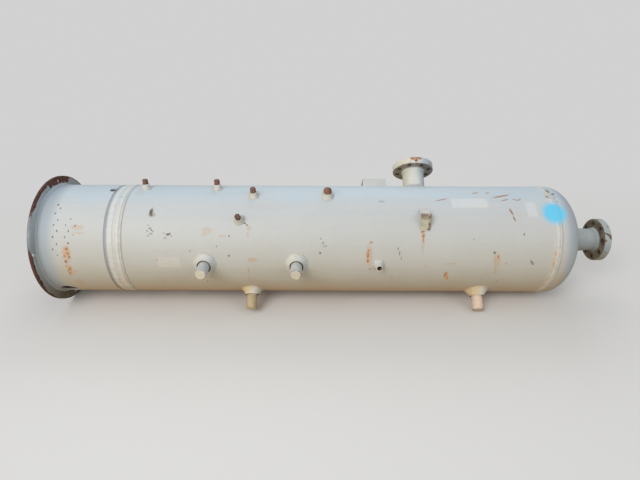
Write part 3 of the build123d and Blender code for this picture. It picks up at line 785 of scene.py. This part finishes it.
def seat(piece, stretch):
    # widens a flat ring across the shell and bends it round: outwards is -Y
    only(piece)
    editAll()
    bpy.ops.transform.resize(value=(1.0, 1.0, stretch), center_override=(0, 0, 0))
    bpy.ops.object.mode_set(mode="OBJECT")
    heights = [corner.co.z for corner in piece.data.vertices]
    bent = piece.modifiers.new("seat", "SIMPLE_DEFORM")
    bent.deform_method = "BEND"
    bent.deform_axis = "X"
    bent.angle = (max(heights) - min(heights)) / vessel["radius"]
    bpy.ops.object.modifier_apply(modifier="seat")


seams = {
    "bottomSeamBead": {"node": "bottom_seam_weld", "along": vessel["bottomSeam"], "look": lowSeamLook},
    "topSeamBead": {"node": "top_seam_weld", "along": vessel["topSeam"], "look": seamLook},
}
layer = {"apart": 0.015, "wide": 0.0128, "high": 0.0042, "centre": 0.3036, "pitch": 0.008, "ripple": 0.0002,
         "sides": 12, "sink": 0.9975, "stagger": 0.7}
pattern = weldRing(layer["centre"], layer["wide"], layer["high"], layer["pitch"], layer["ripple"],
                   layer["sides"])
middleLayer = len(pattern.data.vertices)
for shift in (-1, 1):
    # the layers at the two sides lie a little lower than the middle one
    for corner in pattern.data.vertices:
        corner.select = corner.index < middleLayer
    bpy.ops.object.mode_set(mode="EDIT")
    bpy.ops.mesh.duplicate_move(TRANSFORM_OT_translate={"value": (0, shift * layer["apart"], 0)})
    bpy.ops.transform.resize(value=(layer["sink"], 1.0, layer["sink"]), center_override=(0, 0, 0))
    turn = radians(shift * layer["stagger"])
    bpy.ops.transform.rotate(value=turn, orient_axis="Y", center_override=(0, 0, 0))
    bpy.ops.mesh.select_all(action="DESELECT")
    bpy.ops.object.mode_set(mode="OBJECT")
for name, seam in seams.items():
    bead = copyOf(pattern)
    lay(bead, onVessel(seam["along"], 0, 0), vesselUp, vesselLine)
    hand(bead, name, seam["look"])
    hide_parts(seam["node"])
bpy.data.objects.remove(pattern)
print("seam beads laid")

# Beads round the fittings: the weld's base in metres, and the fittings of that size
toes = {
    "large": {"base": 0.116, "bead": 0.0032,
              "on": ["water_outlet", "water_level", "oil_outlet", "oil_level"]},
    "relief": {"base": 0.128, "bead": 0.0034, "on": ["relief"]},
    "medium": {"base": 0.070, "bead": 0.0025, "on": ["oil_gauge_upper"]},
    "small": {"base": 0.059, "bead": 0.0024,
              "on": ["water_gauge_lower", "water_gauge_upper", "thermowell", "oil_gauge_lower"]},
    "gauge": {"base": 0.062, "bead": 0.0024, "on": ["gauge_tap"]},
}
weldSlope = tan(radians(50))
ripples = {"toe": (0.0045, 0.0006), "ring": (0.006, 0.0007)}  # their pitch and depth
for toe in toes.values():
    half = toe["base"] / 2
    sink = half ** 2 / (2 * vessel["radius"])
    across = vessel["radius"] * asin((half + sink / weldSlope) / vessel["radius"])
    pattern = weldRing(half, toe["bead"], toe["bead"], *ripples["toe"])
    seat(pattern, across / half)
    for fitting in toe["on"]:
        bead = copyOf(pattern)
        stand = stands[fitting]
        foot = onVessel(stand["along"], stand["facing"], vessel["radius"])
        lay(bead, foot, vesselLine, -outward(stand["facing"]))
        hand(bead, f"{fitting}_toe_bead", stand["look"])
    bpy.data.objects.remove(pattern)

# Beads that run round the vessel's line or round a neck
rings = {
    "ringFilletBead": {"along": [0.0150], "round": 0.3070, "wide": 0.0058, "high": 0.0058, "look": skirtLook},
    "neckBead": {"along": [2.9975, 3.0100], "round": 0.0622, "wide": 0.0072, "high": 0.0036, "look": gasLook},
    "gasToeBead": {"along": [2.9190], "round": 0.0790, "wide": 0.0042, "high": 0.0050, "look": headLook},
    "gasMidBead": {"along": [2.9268], "round": 0.0712, "wide": 0.0050, "high": 0.0050, "look": headLook},
    "gasTopBead": {"along": [2.9340], "round": 0.0652, "wide": 0.0048, "high": 0.0042, "look": headLook},
}
for name, ring in rings.items():
    pattern = weldRing(ring["round"], ring["wide"], ring["high"], *ripples["ring"])
    for along, end in zip(ring["along"], ("", "Second")):
        bead = copyOf(pattern)
        lay(bead, onVessel(along, 0, 0), vesselUp, vesselLine)
        hand(bead, name + end, ring["look"])
    bpy.data.objects.remove(pattern)
inletBeads = {
    "inletToeBead": {"round": 0.0795, "wide": 0.0042, "high": 0.0050, "lift": 0.0, "stretch": 1.148},
    "inletCollarBead": {"round": 0.0652, "wide": 0.0048, "high": 0.0042, "lift": 0.0125},
}
for name, ring in inletBeads.items():
    bead = weldRing(ring["round"], ring["wide"], ring["high"], *ripples["ring"])
    if "stretch" in ring:
        seat(bead, ring["stretch"])
    foot = onVessel(inlet["along"], inlet["facing"], vessel["radius"] + ring["lift"])
    lay(bead, foot, vesselLine, -inletOut)
    hand(bead, name, shellLook)
print("toe beads laid")


def weldStrip(length, high, pitch):
    # a straight bead along Z that draws in between its ripples
    steps = 2 * round(length / pitch)
    bpy.ops.object.select_all(action="DESELECT")
    bpy.ops.mesh.primitive_circle_add(vertices=8, radius=high, fill_type="NGON", location=(0, 0, -length / 2))
    piece = bpy.context.object
    bpy.ops.object.transform_apply(location=True, rotation=True, scale=True)
    editAll()
    for step in range(steps):
        narrow = 0.80 if step % 2 else 1.25
        bpy.ops.mesh.extrude_region_move(TRANSFORM_OT_translate={"value": (0, 0, length / steps)})
        bpy.ops.transform.resize(value=(narrow, narrow, 1.0), center_override=(0, 0, 0))
    closeUp()
    return piece


# Short beads at both feet of the clip and the bracket, each reach degrees from the middle
strips = {
    "clipBead": {"along": 2.0295, "middle": 46.5, "reach": 11.9,
                 "length": 0.050, "high": 0.0028, "look": shellLook},
    "bracketBead": {"along": 1.808, "middle": 135, "reach": 9.7,
                    "length": 0.136, "high": 0.0022, "look": bracketPaint},
}
stripRun = {"pitch": 0.005, "lift": 0.0008}
for name, strip in strips.items():
    pattern = weldStrip(strip["length"], strip["high"], stripRun["pitch"])
    for side, sign in (("Lower", -1), ("Upper", 1)):
        facing = strip["middle"] + sign * strip["reach"]
        bead = copyOf(pattern)
        foot = onVessel(strip["along"], facing, vessel["radius"] + stripRun["lift"])
        lay(bead, foot, outward(facing), vesselLine.cross(outward(facing)))
        hand(bead, name + side, strip["look"])
    bpy.data.objects.remove(pattern)

# Nameplate: a raised border and four rivets
plate = {"along": 1.808, "facing": 135, "out": 0.3644, "length": 0.102, "breadth": 0.062,
         "border": 0.0028, "raised": 0.0008, "sunk": 0.0001,
         "rivet": 0.0030, "rivetFoot": -0.0003, "rivetFlat": 0.6, "rivets": (0.0545, 0.0365)}
plateOut = outward(plate["facing"])
plateUp = plateOut.cross(vesselLine)
bpy.ops.mesh.primitive_plane_add(size=1.0, location=(0, 0, 0))
border = bpy.context.object
bpy.ops.object.mode_set(mode="EDIT")
bpy.ops.transform.resize(value=(plate["length"], plate["breadth"], 1.0), center_override=(0, 0, 0))
bpy.ops.mesh.inset(thickness=plate["border"])
bpy.ops.mesh.delete(type="FACE")
bpy.ops.mesh.select_all(action="SELECT")
bpy.ops.mesh.extrude_region_move(TRANSFORM_OT_translate={"value": (0, 0, plate["raised"])})
closeUp()
lay(border, onVessel(plate["along"], plate["facing"], plate["out"] - plate["sunk"]), vesselLine, plateUp)
bpy.ops.object.shade_flat()
hand(border, "nameplateBorder", plateMetal)
bpy.ops.mesh.primitive_uv_sphere_add(segments=20, ring_count=12, radius=plate["rivet"], location=(0, 0, 0))
pattern = bpy.context.object
editAll()
bpy.ops.mesh.bisect(plane_co=(0, 0, plate["rivetFoot"]), plane_no=(0, 0, 1), use_fill=True,
                    clear_inner=True)
bpy.ops.mesh.select_all(action="SELECT")
bpy.ops.transform.resize(value=(1.0, 1.0, plate["rivetFlat"]), center_override=(0, 0, 0))
closeUp()
plateMiddle = onVessel(plate["along"], plate["facing"], plate["out"])
for number, (sideways, upwards) in enumerate(((-1, -1), (-1, 1), (1, -1), (1, 1)), 1):
    rivet = copyOf(pattern)
    spot = plateMiddle + vesselLine * sideways * plate["rivets"][0] + plateUp * upwards * plate["rivets"][1]
    lay(rivet, spot, vesselLine, plateUp)
    hand(rivet, f"nameplateRivet{number}", plateMetal)
bpy.data.objects.remove(pattern)


def threadOf(radius, pitch, turns):
    # a pipe thread inside a socket: a three-sided ridge wound inwards from the mouth
    bpy.ops.object.select_all(action="DESELECT")
    bpy.ops.mesh.primitive_circle_add(vertices=3, radius=0.48 * pitch, location=(radius, 0, 0),
                                      rotation=(0, 0, pi / 2))
    piece = bpy.context.object
    bpy.ops.object.transform_apply(location=True, rotation=True, scale=True)
    wound = piece.modifiers.new("wound", "SCREW")
    wound.axis = "Y"
    wound.steps = 32
    wound.render_steps = 32
    wound.iterations = turns
    wound.screw_offset = pitch
    bpy.ops.object.modifier_apply(modifier="wound")
    editAll()
    bpy.ops.mesh.fill_holes(sides=4)
    closeUp()
    return piece


def mouthOf(fitting):
    stand = stands[fitting]
    return onVessel(stand["along"], stand["facing"], stand["rim"]), outward(stand["facing"]), stand["look"]


# Threads: what each is wound to, and for each socket its mouth, the way that it faces and its look
threads = {
    "small": {"radius": 0.01225, "pitch": 0.00181, "turns": 11, "in": {
        "gaugeTapThread": mouthOf("gauge_tap"),
    }},
    "large": {"radius": 0.0285, "pitch": 0.00221, "turns": 12, "in": {
        "waterOutletThread": mouthOf("water_outlet"),
        "drainThread": (drainFoot - vesselLine * drain["rim"], -vesselLine, drainLook),
    }},
}
threadStart = 0.002  # how far inside its mouth a thread begins
for thread in threads.values():
    pattern = threadOf(thread["radius"], thread["pitch"], thread["turns"])
    for name, (mouth, direction, look) in thread["in"].items():
        piece = copyOf(pattern)
        side = Vector((0, 1, 0)) if abs(direction.y) < 0.5 else vesselLine
        lay(piece, mouth - direction * threadStart, side, -direction)
        hand(piece, name, look)
    bpy.data.objects.remove(pattern)
print("clip beads, nameplate and threads made")


# Studio: pale floor that runs into the backdrop, soft lamps, camera where the photograph was taken
studio = {"floor": 120.0, "behind": 30.0, "near": (0.80, 0.795, 0.78), "bounce": (0.60, 0.50, 0.38),
          "oval": (0.60, 1.0, 1.0), "fade": (0.7, 2.6), "world": 0.45, "backdrop": 0.64}
bpy.ops.object.select_all(action="DESELECT")
bpy.ops.mesh.primitive_plane_add(size=studio["floor"], location=(0, studio["behind"], 0))
floor = bpy.context.object
floor.name = "floor"
floorLook = Look("floorPaper")
seen = floorLook.node("ShaderNodeLightPath", None, None, 0)
speckle = floorLook.noise(floorLook.place(), 220.0, 3.0, 0.6)
oval = floorLook.vector("MULTIPLY_ADD", floorLook.place(), studio["oval"], (0, studio["behind"], 0))
far = floorLook.rise(floorLook.length(oval), *studio["fade"]) * seen  # where the floor runs into the backdrop
paper = floorLook.mix(0.03 * speckle, studio["near"], (0.5, 0.5, 0.5))
paper = floorLook.mix(far, floorLook.mix(seen, studio["bounce"], paper), (0.0, 0.0, 0.0))
glow = floorLook.mix(far, (0.0, 0.0, 0.0), (studio["backdrop"],) * 3)
lit = {"Emission Color": glow, "Emission Strength": 1.0, "Specular IOR Level": 0.0}
floor.data.materials.append(floorLook.finish(paper, 0.85, more=lit))

# The world lights softly, and the camera sees it a little brighter
world = bpy.data.worlds.new("studioWorld")
bpy.context.scene.world = world
world.use_nodes = True
backdrop = world.node_tree.nodes["Background"]
path = world.node_tree.nodes.new("ShaderNodeLightPath")
level = world.node_tree.nodes.new("ShaderNodeMix")
level.inputs[2].default_value = studio["world"]
level.inputs[3].default_value = studio["backdrop"]
world.node_tree.links.new(path.outputs["Is Camera Ray"], level.inputs[0])
world.node_tree.links.new(level.outputs[0], backdrop.inputs["Strength"])
backdrop.inputs["Color"].default_value = (1.0, 1.0, 1.0, 1.0)

lamps = {
    "keyLamp": {"place": (-2.6, -4.6, 4.2), "size": 3.4, "power": 192},
    "fillLamp": {"place": (3.4, -3.6, 3.0), "size": 3.0, "power": 32},
    "backLamp": {"place": (0.6, 4.2, 4.0), "size": 3.6, "power": 70},
}
for name, lamp in lamps.items():
    bpy.ops.object.light_add(type="AREA", location=lamp["place"])
    light = bpy.context.object
    light.name = name
    light.data.shape = "SQUARE"
    light.data.size = lamp["size"]
    light.data.energy = lamp["power"]
    aim = Vector((0, 0, 0.3)) - Vector(lamp["place"])
    light.rotation_euler = aim.to_track_quat("-Z", "Y").to_euler()

viewpoint = {"place": (-0.0607, -2.3661, 1.5290), "turn": (62.896, 0.726, -0.017),
             "lens": 25.49, "sensor": 36.0}
turns = [radians(angle) for angle in viewpoint["turn"]]
bpy.ops.object.camera_add(location=viewpoint["place"], rotation=turns)
camera = bpy.context.object
camera.name = "photoCamera"
camera.data.lens = viewpoint["lens"]
camera.data.sensor_width = viewpoint["sensor"]
bpy.context.scene.camera = camera
bpy.context.scene.view_settings.view_transform = "Standard"
print("studio ready")
